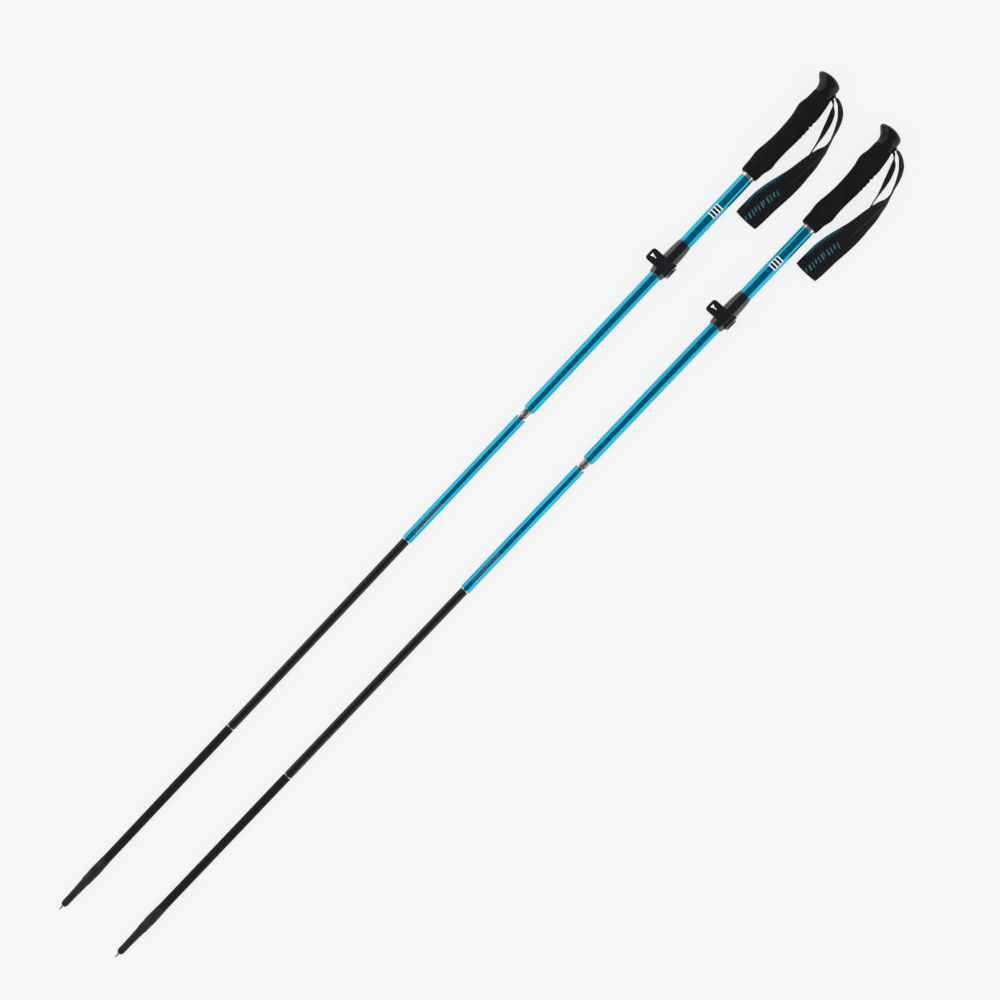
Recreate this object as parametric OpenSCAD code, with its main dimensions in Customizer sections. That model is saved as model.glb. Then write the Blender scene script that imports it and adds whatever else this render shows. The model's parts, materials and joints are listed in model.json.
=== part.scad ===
// A pair of five-section folding trekking poles, lying side by side on a flat surface.
// Each pole is drawn in its own frame: X runs from the tip to the top of the grip and is
// zero at the tip's point, Y points to the lock lever's side, and Z points up. All sizes in mm.

/* [Layout] */
// Distance between the two poles' axes, half way along
pole_gap = 91.5; // [88:0.5:120]
// How far the right pole lies ahead of the left one
pole_lead = 4.5; // [0:0.5:10]
// Angle by which the poles spread apart towards the grips
pole_spread = 0.35; // [0:0.05:1]

/* [Stations along a pole] */
// Top of the grip's head
grip_top = 1350; // [1349:1:1351]
// Bottom edge of the foam grip
grip_bottom = 1197.5; // [1196:0.5:1199]
// Top and bottom edges of the lever lock
lock_top = 1087; // [1086:0.5:1088]
lock_bottom = 1035; // [1034:0.5:1036]
// Lower end of the extension tube
extension_end = 815.5; // [815:0.5:816]
// Upper ends of the three folding tubes
fold_end_1 = 803.3; // [803:0.1:803.5]
fold_end_2 = 602.9; // [602:0.1:603]
fold_end_3 = 297.4; // [297:0.1:298]

/* [Tubes] */
// Outer radius and bore radius of the upper tube
upper_r = 8.15; // [8.1:0.05:8.2]
upper_bore = 7.55; // [7.5:0.01:7.6]
// Outer radius and bore radius of the extension tube
extension_r = 7.45; // [7.3:0.05:7.5]
extension_bore = 6.6; // [6.4:0.1:6.8]
// Outer radius and bore radius of the first folding tube
fold_r_1 = 6.5; // [6.4:0.05:6.6]
fold_bore_1 = 5.6; // [5.4:0.1:5.8]
// Outer radius and bore radius of the second and third folding tubes
fold_r_2 = 5.35; // [5.2:0.05:5.5]
fold_bore_2 = 4.45; // [4.4:0.05:4.6]

/* [Folding joints] */
// Distance from a tube's axis to each joint's folding axis
fold_arm_1 = 12.5; // [12:0.5:13]
fold_arm_2 = 15.5; // [15:0.5:16]
fold_arm_3 = 8; // [8:0.5:9]
// Bore radius of the first socket, and of the other two
socket_bore_1 = 3.6; // [3.5:0.05:3.7]
socket_bore_2 = 4; // [3.9:0.05:4.1]
// Clearance between a nose and its socket
nose_gap = 0.3; // [0.25:0.05:0.35]

/* [Tension lock] */
// Radius of the steel ferrule, and of its bore
ferrule_r = 4.6; // [4.5:0.05:4.7]
ferrule_bore = 3.8; // [3.6:0.1:3.9]
// Radius of the snap button, and how far it stands out
button_r = 2.6; // [2.4:0.1:2.8]
button_height = 2.6; // [2.2:0.1:2.8]

/* [Lever lock] */
// Largest radius of the lock's housing
lock_r = 10.2; // [10:0.1:10.4]
// Width of the lever along the pole, and how far its tab reaches
lever_w = 16.5; // [16:0.5:17]
lever_reach = 24; // [23:0.5:25]
// Diameter and thickness of the tension dial
dial_d = 15; // [14:0.5:16]
dial_t = 1.9; // [1.6:0.1:2.2]

/* [Tip] */
// Radius of the tip cone at its collar, at the basket seat and at the protector seat
cone_r = 6.1; // [6:0.05:6.2]
basket_seat_r = 5.7; // [5.6:0.05:5.75]
protector_seat_r = 4.3; // [4.2:0.05:4.4]
// Radius of the carbide tip
carbide_r = 1.1; // [1:0.1:1.4]

/* [Hidden] */
$fn = 64;
SIDES = ["left", "right"];
PIECES = ["grip_foam", "grip_head", "grip_collar", "upper_tube", "lock_housing", "lever_pin",
    "dial_washer", "lock_lever", "tension_dial", "strap_swivel", "wrist_strap",
    "extension_tube", "extension_bushes", "ferrule", "ferrule_guide", "button_spring",
    "tension_cord_1", "snap_button", "fold_tube_1", "socket_1", "nose_2", "tension_cord_2",
    "fold_tube_2", "socket_2", "nose_3", "tension_cord_3", "fold_tube_3", "socket_3",
    "tip_cone", "carbide_tip"];

// Colours
foam_colour = [0.11, 0.11, 0.11];
black_plastic = [0.13, 0.13, 0.13];
cyan_anodised = [0.1, 0.68, 0.88];
black_anodised = [0.16, 0.16, 0.17];
steel_colour = [0.6, 0.58, 0.55];
grey_plastic = [0.5, 0.5, 0.5];
cord_colour = [0.8, 0.8, 0.78];

// A pole rests on its grip's flare and on its tip cone's collar, so its axis rises to the grip
cone_station = 59;
flare_station = 1223;
flare_r = 13.5;
pitch = atan((flare_r - cone_r) / (flare_station - cone_station));
axis_height = cone_r / cos(pitch) - cone_station * tan(pitch);
// The pair's own centre
centre_x = 677.26;
left_y = 60.7;
right_y = left_y - pole_gap;
yaw = pole_spread / 2;

// Tube ends and seats
upper_tube_start = lock_bottom + 6;
upper_tube_end = 1322;
groove_r = upper_r - 0.42;
groove_start = grip_bottom - 4.2;
extension_top = 1110;
guide_start = 866;
guide_length = 14;
ferrule_start = 806;
ferrule_top = guide_start + 6;
neck_r = socket_bore_1 - nose_gap - 0.1;
rim_gap = 0.3;
nose_tip_r = 1.5;
notch_half_w = 4.6;
notch_depth = 4.6;
joint_1 = fold_end_1 + rim_gap / 2;
joint_2 = fold_end_2 + rim_gap / 2;
joint_3 = fold_end_3 + rim_gap / 2;
ring_w = 0.9;
fold_start_1 = fold_end_2 + rim_gap + ring_w;
fold_start_2 = fold_end_3 + rim_gap + ring_w;
fold_start_3 = 66;
button_station = 812.2;
button_foot = 3.9;
cord_r = 0.9;

// Lever lock details, in the pole's frame
lever_station = 1050.3;
pin_y = -8.8;
pin_z = 7.2;
pin_r = 1.2;
hub_r = 2.6;
hub_w = 13;
lug_w = 3;
band_in = lock_r + 0.3;
band_out = band_in + 1.9;
plate_tilt = 18;
dial_y = -11.5;
washer_t = 1.1;
dial_z = -3.2;
dial_station = 1050.5;
shank_r = 1.6;

// Strap swivel, in the grip's head
swivel_station = 1333.5;
swivel_r = 4.4;
swivel_flange_r = 6;
swivel_out = -10.9;
swivel_in = -3;

// ---- Shared shapes ----

// A solid turned about the pole's axis, from points of [radius, station]
module turned(points) {
    rotate([0, 90, 0]) rotate_extrude() polygon(points);
}

module pipe(outer, inner, from, to) {
    turned([[inner, from], [outer, from], [outer, to], [inner, to]]);
}

module rod(outer, from, to) {
    turned([[0, from], [outer, from], [outer, to], [0, to]]);
}

// Closed skin over a list of rings of points, each ring in its own plane
module skin(rings) {
    n = len(rings[0]);
    last = len(rings) - 1;
    points = [for (ring = rings) each ring];
    walls = [for (k = [0:last - 1]) for (i = [0:n - 1])
        let (j = (i + 1) % n, a = k * n + i, b = k * n + j, c = b + n, d = a + n)
        each [[a, d, c], [a, c, b]]];
    caps = [[for (i = [0:n - 1]) i], [for (i = [n - 1:-1:0]) last * n + i]];
    polyhedron(points = points, faces = concat(walls, caps));
}

// A ring across the pole: station, its two sides in Y, and its half height
function oval(station, low, high, half) =
    [for (i = [0:27]) let (a = i * 360 / 28)
        [station, (low + high) / 2 + (high - low) / 2 * cos(a), half * sin(a)]];

// The round spigot of a folding joint. It is as wide as the socket lets it be when the socket
// swings about an axis that is arm away from the tube's axis
function nose_outline(arm, mouth_r, joint) =
    let (reach = arm + mouth_r, depth = nose_depth(arm, mouth_r))
    [for (i = [0:10]) let (z = depth * (1 - i / 10)) [sqrt(reach * reach - z * z) - arm, joint - z]];

function nose_depth(arm, mouth_r) = sqrt(pow(arm + mouth_r, 2) - pow(arm + nose_tip_r, 2));

// ---- Grip ----

// Station, side away from the lever, lever side, half height
foam_rings = [
    [0, -8.2, 10.2, 10.5], [0.8, -9.6, 11.6, 11.8], [3, -10.3, 12.3, 12.4], [14, -11.3, 12.8, 12.9],
    [21, -13.2, 13.5, 13.4], [25.5, -13.8, 14, flare_r], [33, -13.1, 13.6, 13.2],
    [43, -12.8, 12.3, 12.8], [53, -13, 11.5, 12.6], [65, -13.7, 11.3, 12.6],
    [78, -14.3, 11.7, 12.8], [91, -14.2, 13, 13.1], [99, -14, 14.8, 13.3], [104, -13.9, 15.5, 13.3],
    [109, -13.6, 14.9, 13.1], [114, -13, 13.9, 12.7], [122, -11.8, 13.5, 12.2], [128, -10.6, 13.4, 12]];
foam_top = grip_bottom + 128;

head_rings = [
    [0, -10.4, 13.3, 11.9], [4.5, -9.7, 13.5, 11.8], [8.5, -9, 14.8, 12], [11.5, -8.9, 16.6, 12.6],
    [14.5, -9, 19.6, 13.3], [17, -8.9, 22, 13.4], [19.3, -8.3, 23.2, 13.4], [21.2, -7, 22.6, 13],
    [22.9, -4.4, 20.3, 11.8], [24, -1, 16, 8.8], [24.5, 2.5, 11, 4.5]];

module grip_foam() {
    color(foam_colour) difference() {
        skin([for (r = foam_rings) oval(grip_bottom + r[0], r[1], r[2], r[3])]);
        rod(upper_r, grip_bottom - 1, foam_top + 1);
    }
}

module grip_head() {
    color(black_plastic) difference() {
        skin([for (r = head_rings) oval(foam_top + r[0], r[1], r[2], r[3])]);
        translate([swivel_station, swivel_in + 0.3, 0]) rotate([90, 0, 0]) {
            cylinder(r = swivel_flange_r + 0.3, h = 2.1);
            cylinder(r = swivel_r + 0.1, h = 20);
        }
    }
}

// Bright band in the upper tube's groove, under the grip
module grip_collar() {
    color(steel_colour) pipe(upper_r - 0.05, groove_r, groove_start, grip_bottom);
}

module upper_tube() {
    color(cyan_anodised) turned([[upper_bore, upper_tube_start], [upper_r, upper_tube_start],
        [upper_r, groove_start - 0.6], [upper_r - 0.4, groove_start], [groove_r, groove_start],
        [groove_r, grip_bottom], [upper_r, grip_bottom], [upper_r, upper_tube_end],
        [upper_bore, upper_tube_end]]);
}

// ---- Lever lock ----

module lock_body() {
    turned([[extension_r + 0.25, lock_bottom], [extension_r + 0.7, lock_bottom],
        [extension_r + 1.5, lock_bottom + 1], [9.7, lock_bottom + 4.5], [lock_r, lock_bottom + 7],
        [lock_r, lock_bottom + 30], [9.9, lock_bottom + 38], [9.4, lock_top - 6],
        [8.8, lock_top - 1.5], [upper_r + 0.2, lock_top], [upper_r, lock_top],
        [upper_r, upper_tube_start], [extension_r + 0.25, upper_tube_start]]);
}

module lock_housing() {
    color(black_plastic) difference() {
        union() {
            lock_body();
            for (side = [-1, 1])
                translate([lever_station + side * (hub_w / 2 + 0.25 + lug_w / 2) - lug_w / 2, 0, 0])
                    rotate([0, 90, 0]) linear_extrude(lug_w) lug_outline();
            translate([dial_station - 4.5, dial_y + washer_t, dial_z - 4.5]) cube([9, 4, 9]);
        }
        rod(upper_r, upper_tube_start, lock_top + 1);
        rod(extension_r + 0.25, lock_bottom - 1, upper_tube_start + 1);
        translate([lever_station - hub_w / 2 - 0.25, pin_y, pin_z]) rotate([0, 90, 0])
            cylinder(r = hub_r + 0.3, h = hub_w + 0.5);
        translate([lever_station - 20, pin_y, pin_z]) rotate([0, 90, 0])
            cylinder(r = pin_r, h = 40);
        translate([dial_station, dial_y, dial_z]) rotate([-90, 0, 0])
            cylinder(r = shank_r + 0.1, h = 2.7);
    }
}

// An ear that holds the lever's pin, joined to the housing's round
module lug_outline() {
    translate([-pin_z, pin_y]) circle(r = hub_r);
    polygon([[-pin_z - 2.3, pin_y + 1.2], [-pin_z + 2.4, pin_y - 1], [-2, -9.5], [-4, -6], [-9, -2],
        [-8.2, -6]]);
}

module lever_pin() {
    color(steel_colour) translate([lever_station - hub_w / 2 - lug_w, pin_y, pin_z])
        rotate([0, 90, 0]) cylinder(r = pin_r, h = hub_w + 2 * lug_w);
}

// The lever in the plane across the pole: hub, band over the housing, flat plate out to the tab
module lever_outline() {
    band_end = 32;
    plate_y = band_out * sin(plate_tilt);
    plate_z = band_out * cos(plate_tilt);
    edge_y = lever_reach - 0.6;
    difference() {
        union() {
            difference() {
                circle(r = band_out, $fn = 128);
                circle(r = band_in, $fn = 128);
                polygon([[0, 0], 30 * [cos(band_end), sin(band_end)], [30, -30], [-30, -30],
                    [-30, 0], [pin_y - 12, pin_z], [pin_y, pin_z]]);
            }
            translate([pin_y, pin_z]) circle(r = hub_r);
            polygon([[pin_y - 1.4, pin_z + 2.2], [pin_y + 1.5, pin_z - 1], [-6.6, 8.4], [-5.4, 11]]);
            polygon([[6, 8.7], [8.5, 6.3], [12, 5.3], [lever_reach - 1, 3.4], [lever_reach, 4.4],
                [edge_y, plate_z - (edge_y - plate_y) * tan(plate_tilt)], [plate_y, plate_z]]);
        }
        circle(r = band_in, $fn = 128);
    }
}

module lever_plan() {
    half = lever_w / 2;
    corner = 4;
    hull() {
        for (side = [-1, 1]) {
            translate([side * (half - corner), lever_reach - corner]) circle(r = corner);
            translate([side * half - 0.5, -18]) square([1, 1]);
        }
    }
}

module lock_lever() {
    color(black_plastic) difference() {
        intersection() {
            translate([lever_station - lever_w / 2, 0, 0]) rotate([90, 0, 90])
                linear_extrude(lever_w) lever_outline();
            translate([lever_station, 0, -10]) linear_extrude(40) lever_plan();
        }
        for (side = [-1, 1])
            translate([lever_station + side * (hub_w / 2 + 4) - 4, pin_y, pin_z])
                rotate([0, 90, 0]) cylinder(r = hub_r + 0.5, h = 8);
        translate([lever_station - 20, pin_y, pin_z]) rotate([0, 90, 0])
            cylinder(r = pin_r + 0.05, h = 40);
    }
}

module dial_washer() {
    color(grey_plastic) translate([dial_station, dial_y, dial_z]) rotate([-90, 0, 0])
        difference() {
            cylinder(r = 4.4, h = washer_t);
            translate([0, 0, -1]) cylinder(r = shank_r + 0.1, h = 3);
        }
}

// Knurled dial that sets how hard the closed lever clamps, with its threaded shank
module tension_dial() {
    color(black_plastic) translate([dial_station, dial_y - 0.1, dial_z]) rotate([90, 0, 0]) {
        difference() {
            cylinder(d = dial_d, h = dial_t);
            for (i = [0:23])
                rotate(i * 15) translate([dial_d / 2 + 0.35, 0, -1]) cylinder(r = 0.75, h = 5, $fn = 16);
            translate([-dial_d / 4, -0.6, dial_t - 0.8]) cube([dial_d / 2, 1.2, 2]);
        }
        translate([0, 0, -2.6]) cylinder(r = shank_r, h = 2.7);
    }
}

// ---- Wrist strap ----

// Round foot of the strap, which turns in the grip's head
module strap_swivel() {
    color(black_plastic) translate([swivel_station, swivel_in, 0]) rotate([90, 0, 0]) {
        cylinder(r = swivel_flange_r, h = 1.5);
        cylinder(r = swivel_r, h = swivel_in - swivel_out);
    }
}

// The strap's route: station, Y, Z, half width, roll in degrees (90 stands the webbing on edge)
strap_route = [
    [1335.9, -10.9, 0, 3.6, 90], [1335.9, -13, 0, 5, 90], [1334.5, -19, 0, 7, 90],
    [1328, -28, 0, 8, 90], [1318, -35, 0.2, 8, 88], [1306, -39.2, 0.4, 8.3, 85],
    [1293, -42.6, 0.6, 9, 80], [1282, -44.8, 0.8, 10, 73], [1272, -43.3, 1, 10.8, 60],
    [1260, -43, 1.4, 11.5, 46], [1245, -42.3, 2, 12.2, 37], [1230, -41.2, 2.4, 13, 27],
    [1215, -38.6, 2.2, 14, 15], [1202, -36.2, 0.8, 14.7, 6], [1190, -34.8, -0.4, 15.2, 0],
    [1178, -34.1, -1.2, 15.3, 0], [1167, -33.6, -1.6, 15, 0], [1161.2, -33.1, -3.2, 14.2, 0],
    [1159.2, -32.9, -6.6, 13.6, 0], [1161.2, -33.1, -10, 14.2, 0], [1167, -33.6, -11.4, 15, 0],
    [1180, -34.2, -11.5, 15, 0], [1200, -36, -11.6, 14.4, 0], [1222, -39.6, -11.7, 13, 0],
    [1240, -41, -11.8, 12, 0], [1254, -40.4, -9.4, 11, 14], [1266, -36.6, -6.6, 9, 38],
    [1279, -32.9, -6, 7.4, 70], [1292, -30.2, -4.8, 7.2, 74], [1305, -27, -3.4, 7.2, 68],
    [1316, -22.6, -2, 7.2, 74], [1325, -17.2, -0.8, 7, 86], [1331, -13, 0, 5, 90],
    [1331, -10.9, 0, 3.6, 90]];
strap_t = 2.8;

function strap_ring(i) =
    let (
        last = len(strap_route) - 1,
        here = strap_route[i],
        before = strap_route[max(i - 1, 0)],
        after = strap_route[min(i + 1, last)],
        along = [after[0] - before[0], after[1] - before[1], after[2] - before[2]],
        across = [0, cos(here[4]), sin(here[4])],
        up = cross(along, across),
        thick = up / norm(up) * strap_t / 2,
        wide = across * here[3],
        centre = [here[0], here[1], here[2]])
    [centre + wide + thick, centre - wide + thick, centre - wide - thick, centre + wide - thick];

module wrist_strap() {
    color(foam_colour) skin([for (i = [0:len(strap_route) - 1]) strap_ring(i)]);
}

// ---- Extension ----

module extension_tube() {
    color(cyan_anodised)
        turned([[5.2, extension_end], [6.1, extension_end], [6.7, extension_end + 0.7],
            [7.1, extension_end + 2.5], [extension_r, extension_end + 7.5],
            [extension_r, extension_top], [extension_bore, extension_top],
            [extension_bore, extension_end + 10], [5.6, extension_end + 3]]);
}

// The bush that guides the ferrule, and the expander that keeps the extension central
module extension_bushes() {
    color(grey_plastic) {
        pipe(extension_bore, ferrule_r + 0.05, extension_end + 11, extension_end + 27);
        turned([[0, extension_top - 16], [extension_bore, extension_top - 16],
            [extension_bore, extension_top], [extension_r, extension_top],
            [extension_r, extension_top + 7], [5.5, extension_top + 9], [0, extension_top + 9]]);
    }
}

// ---- Tension lock ----

module ferrule() {
    color(steel_colour) difference() {
        turned(concat(
            nose_outline(fold_arm_1, neck_r, joint_1),
            [[neck_r, joint_1 + 0.8], [ferrule_r - 0.7, ferrule_start - 0.6],
                [ferrule_r, ferrule_start + 0.4], [ferrule_r, ferrule_top],
                [ferrule_bore, ferrule_top], [ferrule_bore, ferrule_start + 2],
                [cord_r + 0.1, ferrule_start],
                [cord_r + 0.1, joint_1 - nose_depth(fold_arm_1, neck_r)]]));
        translate([button_station, 0, 0]) cylinder(r = button_r + 0.1, h = 20);
    }
}

// Piston at the top of the ferrule, to which the cord is knotted
module ferrule_guide() {
    color(grey_plastic) {
        rod(ferrule_bore, guide_start, ferrule_top);
        rod(extension_bore - 0.1, ferrule_top, guide_start + guide_length);
    }
}

module button_spring() {
    rise = 1.3;
    span = 4.1;
    width = 2;
    color(steel_colour) translate([button_station, width / 2, button_foot]) rotate([90, 0, 0])
        linear_extrude(width) polygon(concat(
            [for (i = [-6:6]) [i / 6 * span, -rise * (i / 6) * (i / 6)]],
            [for (i = [6:-1:-6]) [i / 6 * span, -rise * (i / 6) * (i / 6) - 0.35]]));
}

module snap_button() {
    top = ferrule_r + button_height;
    color(steel_colour) translate([button_station, 0, 0]) rotate_extrude()
        polygon([[0, button_foot], [button_r, button_foot], [button_r, top - 0.9],
            [button_r - 0.3, top - 0.35], [button_r - 0.9, top], [0, top]]);
}

module tension_cord_1() {
    cord_through(joint_1 - 8, guide_start);
}

// ---- Folding sections ----

// Tube with a slightly rolled lower edge
module fold_tube(r, bore, from, to) {
    turned([[bore, from], [r - 0.5, from], [r, from + 1.2], [r, to - 0.4], [r - 0.3, to], [bore, to]]);
}

// Spigot with a bright ring at the tube's mouth and a stem inside the tube
module nose(arm, joint, stem_r, from) {
    mouth_r = socket_bore_2 - nose_gap;
    bore = cord_r + 0.1;
    turned(concat(
        nose_outline(arm, mouth_r, joint),
        [[fold_r_2 - 0.45, joint + rim_gap / 2], [fold_r_2 - 0.45, from], [stem_r, from],
            [stem_r, from + 24], [bore, from + 24], [bore, joint - nose_depth(arm, mouth_r)]]));
}

module cord_through(from, to) {
    color(cord_colour) rod(cord_r, from, to);
}

// The tube's mouth has a notch on its upper side, which leads the cord out when it folds
module fold_tube_1() {
    color(cyan_anodised) difference() {
        fold_tube(fold_r_1, fold_bore_1, fold_start_1, fold_end_1);
        linear_extrude(fold_r_1 + 1) polygon([[fold_end_1 + 1, -notch_half_w],
            [fold_end_1 + 1, notch_half_w], [fold_end_1 - notch_depth, 0.5],
            [fold_end_1 - notch_depth, -0.5]]);
    }
}

module socket_1() {
    color(grey_plastic) pipe(fold_bore_1, socket_bore_1, fold_end_1 - 26, fold_end_1 - 3);
}

module nose_2() {
    color(steel_colour) nose(fold_arm_2, joint_2, fold_bore_1, fold_start_1);
}

module tension_cord_2() {
    cord_through(joint_2 - 9, fold_end_1 - 14);
}

module fold_tube_2() {
    color(black_anodised) fold_tube(fold_r_2, fold_bore_2, fold_start_2, fold_end_2);
}

module socket_2() {
    color(grey_plastic) pipe(fold_bore_2, socket_bore_2, fold_end_2 - 24, fold_end_2 - 0.4);
}

module nose_3() {
    color(steel_colour) nose(fold_arm_3, joint_3, fold_bore_2, fold_start_2);
}

module tension_cord_3() {
    cord_through(joint_3 - 5, fold_end_2 - 14);
}

module fold_tube_3() {
    color(black_anodised) fold_tube(fold_r_2, fold_bore_2, fold_start_3, fold_end_3);
}

// Socket whose floor holds the knotted end of the cord
module socket_3() {
    color(grey_plastic) turned([[0, fold_end_3 - 30], [fold_bore_2, fold_end_3 - 30],
        [fold_bore_2, fold_end_3 - 0.4], [socket_bore_2, fold_end_3 - 0.4],
        [socket_bore_2, fold_end_3 - 22], [0, fold_end_3 - 22]]);
}

// ---- Tip ----

module tip_cone() {
    color(black_plastic) turned([[carbide_r, 7], [2.6, 7], [3.7, 8.2], [protector_seat_r, 11],
        [protector_seat_r, 21], [4.75, 36], [5.15, 45], [basket_seat_r, 47], [basket_seat_r, 56],
        [cone_r, 59], [cone_r, 65], [5.75, 74], [5.6, 81], [fold_r_2, 81], [fold_r_2, fold_start_3],
        [3.4, fold_start_3], [3.4, 42], [2.2, 40], [2.2, 30], [carbide_r, 30]]);
}

module carbide_tip() {
    color(steel_colour) {
        turned([[0, 0], [0.45, 0], [0.8, 1.2], [carbide_r, 3.5], [carbide_r, 30], [2.2, 30],
            [2.2, 40], [0, 40]]);
    }
}

// ---- Placing ----

// Puts a pole's frame in the pair's frame; the left pole is the one on the +Y side
module placed(side) {
    sign = side == "left" ? 1 : -1;
    lead = side == "left" ? 0 : pole_lead;
    y = side == "left" ? left_y : right_y;
    translate([lead - centre_x, y, axis_height])
        rotate([0, 0, sign * yaw])
            translate([0, -sign * tan(yaw) * grip_top / 2, 0])
                rotate([0, -pitch, 0]) children();
}

module piece(side, name) {
    placed(side) children();
}

for (side = SIDES) {
    piece(side, "grip_foam") grip_foam();
    piece(side, "grip_head") grip_head();
    piece(side, "grip_collar") grip_collar();
    piece(side, "upper_tube") upper_tube();
    piece(side, "lock_housing") lock_housing();
    piece(side, "lever_pin") lever_pin();
    piece(side, "dial_washer") dial_washer();
    piece(side, "lock_lever") lock_lever();
    piece(side, "tension_dial") tension_dial();
    piece(side, "strap_swivel") strap_swivel();
    piece(side, "wrist_strap") wrist_strap();
    piece(side, "extension_tube") extension_tube();
    piece(side, "extension_bushes") extension_bushes();
    piece(side, "ferrule") ferrule();
    piece(side, "ferrule_guide") ferrule_guide();
    piece(side, "button_spring") button_spring();
    piece(side, "tension_cord_1") tension_cord_1();
    piece(side, "snap_button") snap_button();
    piece(side, "fold_tube_1") fold_tube_1();
    piece(side, "socket_1") socket_1();
    piece(side, "nose_2") nose_2();
    piece(side, "tension_cord_2") tension_cord_2();
    piece(side, "fold_tube_2") fold_tube_2();
    piece(side, "socket_2") socket_2();
    piece(side, "nose_3") nose_3();
    piece(side, "tension_cord_3") tension_cord_3();
    piece(side, "fold_tube_3") fold_tube_3();
    piece(side, "socket_3") socket_3();
    piece(side, "tip_cone") tip_cone();
    piece(side, "carbide_tip") carbide_tip();
}
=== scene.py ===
"""Looks of a pair of folding trekking poles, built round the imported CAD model.

The pieces of a pole are drawn in that pole's own frame, in millimetres: X runs from the tip's
point to the top of the grip, Y points to the lock lever's side and Z points up. pole_frame()
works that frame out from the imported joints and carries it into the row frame, in metres.
"""

import json
import math

import bmesh
import bpy
import numpy as np
from mathutils import Matrix, Vector


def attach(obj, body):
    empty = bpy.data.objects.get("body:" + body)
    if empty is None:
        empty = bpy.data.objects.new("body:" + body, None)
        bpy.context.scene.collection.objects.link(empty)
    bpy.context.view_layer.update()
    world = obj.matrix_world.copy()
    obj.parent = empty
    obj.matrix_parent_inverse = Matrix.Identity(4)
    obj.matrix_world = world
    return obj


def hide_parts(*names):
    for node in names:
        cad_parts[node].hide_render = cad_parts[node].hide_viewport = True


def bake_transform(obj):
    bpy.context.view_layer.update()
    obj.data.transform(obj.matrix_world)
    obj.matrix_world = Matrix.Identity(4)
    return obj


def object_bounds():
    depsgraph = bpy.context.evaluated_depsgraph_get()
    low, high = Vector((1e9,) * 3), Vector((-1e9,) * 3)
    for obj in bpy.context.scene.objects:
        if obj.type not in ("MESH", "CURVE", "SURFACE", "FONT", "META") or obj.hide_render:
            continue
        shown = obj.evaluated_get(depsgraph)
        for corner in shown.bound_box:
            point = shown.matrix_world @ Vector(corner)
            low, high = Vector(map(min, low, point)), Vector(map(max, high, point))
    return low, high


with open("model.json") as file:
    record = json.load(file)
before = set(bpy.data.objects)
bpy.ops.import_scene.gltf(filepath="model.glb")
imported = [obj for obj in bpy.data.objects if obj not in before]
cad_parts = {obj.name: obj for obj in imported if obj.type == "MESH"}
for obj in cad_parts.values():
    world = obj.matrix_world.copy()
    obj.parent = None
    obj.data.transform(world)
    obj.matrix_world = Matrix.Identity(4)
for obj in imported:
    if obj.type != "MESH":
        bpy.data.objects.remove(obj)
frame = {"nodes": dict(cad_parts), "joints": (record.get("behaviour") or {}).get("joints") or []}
CAD_LOW, CAD_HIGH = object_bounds()
NODES = frame["nodes"]
JOINTS = {joint["name"]: joint for joint in frame["joints"]}
SIDES = ("left", "right")
MM = 0.001

# Stations along a pole, in millimetres from the tip
GRIP_BOTTOM = 1197.5
FOAM_TOP = 1325.5
UPPER_TUBE_R = 8.15
SECTION_3_R = 6.5
LEVER_STATION = 1050.3

# Height of the first fold's hinge above the pole's axis
FOLD_1_ARM = 12.5

# Each folding joint: its station, how far its nose reaches past it, where its cord starts in the
# section above, the CAD cord, and the bodies above and below it
FOLDS = {
    "fold_1": {"joint": 803.45, "nose": 7.3, "top": 864.0, "cord": "tension_cord_1",
               "bodies": ("tension_ferrule", "section_3")},
    "fold_2": {"joint": 603.05, "nose": 9.1, "top": 787.0, "cord": "tension_cord_2",
               "bodies": ("section_3", "section_4")},
    "fold_3": {"joint": 297.55, "nose": 7.0, "top": 587.0, "cord": "tension_cord_3",
               "bodies": ("section_4", "section_5")},
}


# ---- Pole frames and meshes ----


def pole_frame(side):
    """The matrix from a pole's own frame, in millimetres, to the row frame, in metres."""
    along = Vector(JOINTS[f"{side}_length_slide"]["axis"]).normalized()
    across = -Vector(JOINTS[f"{side}_dial_turn"]["axis"]).normalized()
    turn = Matrix((along, across, along.cross(across))).transposed() * MM
    hinge = Vector(JOINTS[f"{side}_fold_1"]["pos_m"])
    start = hinge - turn @ Vector((FOLDS["fold_1"]["joint"], 0, FOLD_1_ARM))
    return Matrix.Translation(start) @ turn.to_4x4()


FRAMES = {side: pole_frame(side) for side in SIDES}


def mesh_piece(name, side, points, faces, material, cloth=None, smooth=True):
    """A mesh from points in the pole's frame. cloth gives (along, across) for each point."""
    mesh = bpy.data.meshes.new(f"{side}_{name}")
    mesh.from_pydata([tuple(p) for p in points], [], [tuple(f) for f in faces])
    mesh.transform(FRAMES[side])
    shell = bmesh.new()
    shell.from_mesh(mesh)
    bmesh.ops.recalc_face_normals(shell, faces=shell.faces)
    shell.to_mesh(mesh)
    shell.free()
    mesh.polygons.foreach_set("use_smooth", [smooth] * len(mesh.polygons))
    if cloth is not None:
        layer = mesh.uv_layers.new(name="cloth")
        corners = [loop.vertex_index for loop in mesh.loops]
        layer.data.foreach_set("uv", np.array(cloth, float)[corners].ravel())
    mesh.update()
    mesh.materials.append(material)
    piece = bpy.data.objects.new(f"{side}_{name}", mesh)
    bpy.context.scene.collection.objects.link(piece)
    return piece


def ring_faces(rings, size, closed=False):
    """Quads between rings of points, in order; closed joins the last ring to the first one."""
    faces = []
    for k in range(rings if closed else rings - 1):
        a = k * size
        b = (k + 1) % rings * size
        faces += [(a + i, a + (i + 1) % size, b + (i + 1) % size, b + i) for i in range(size)]
    return faces


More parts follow.
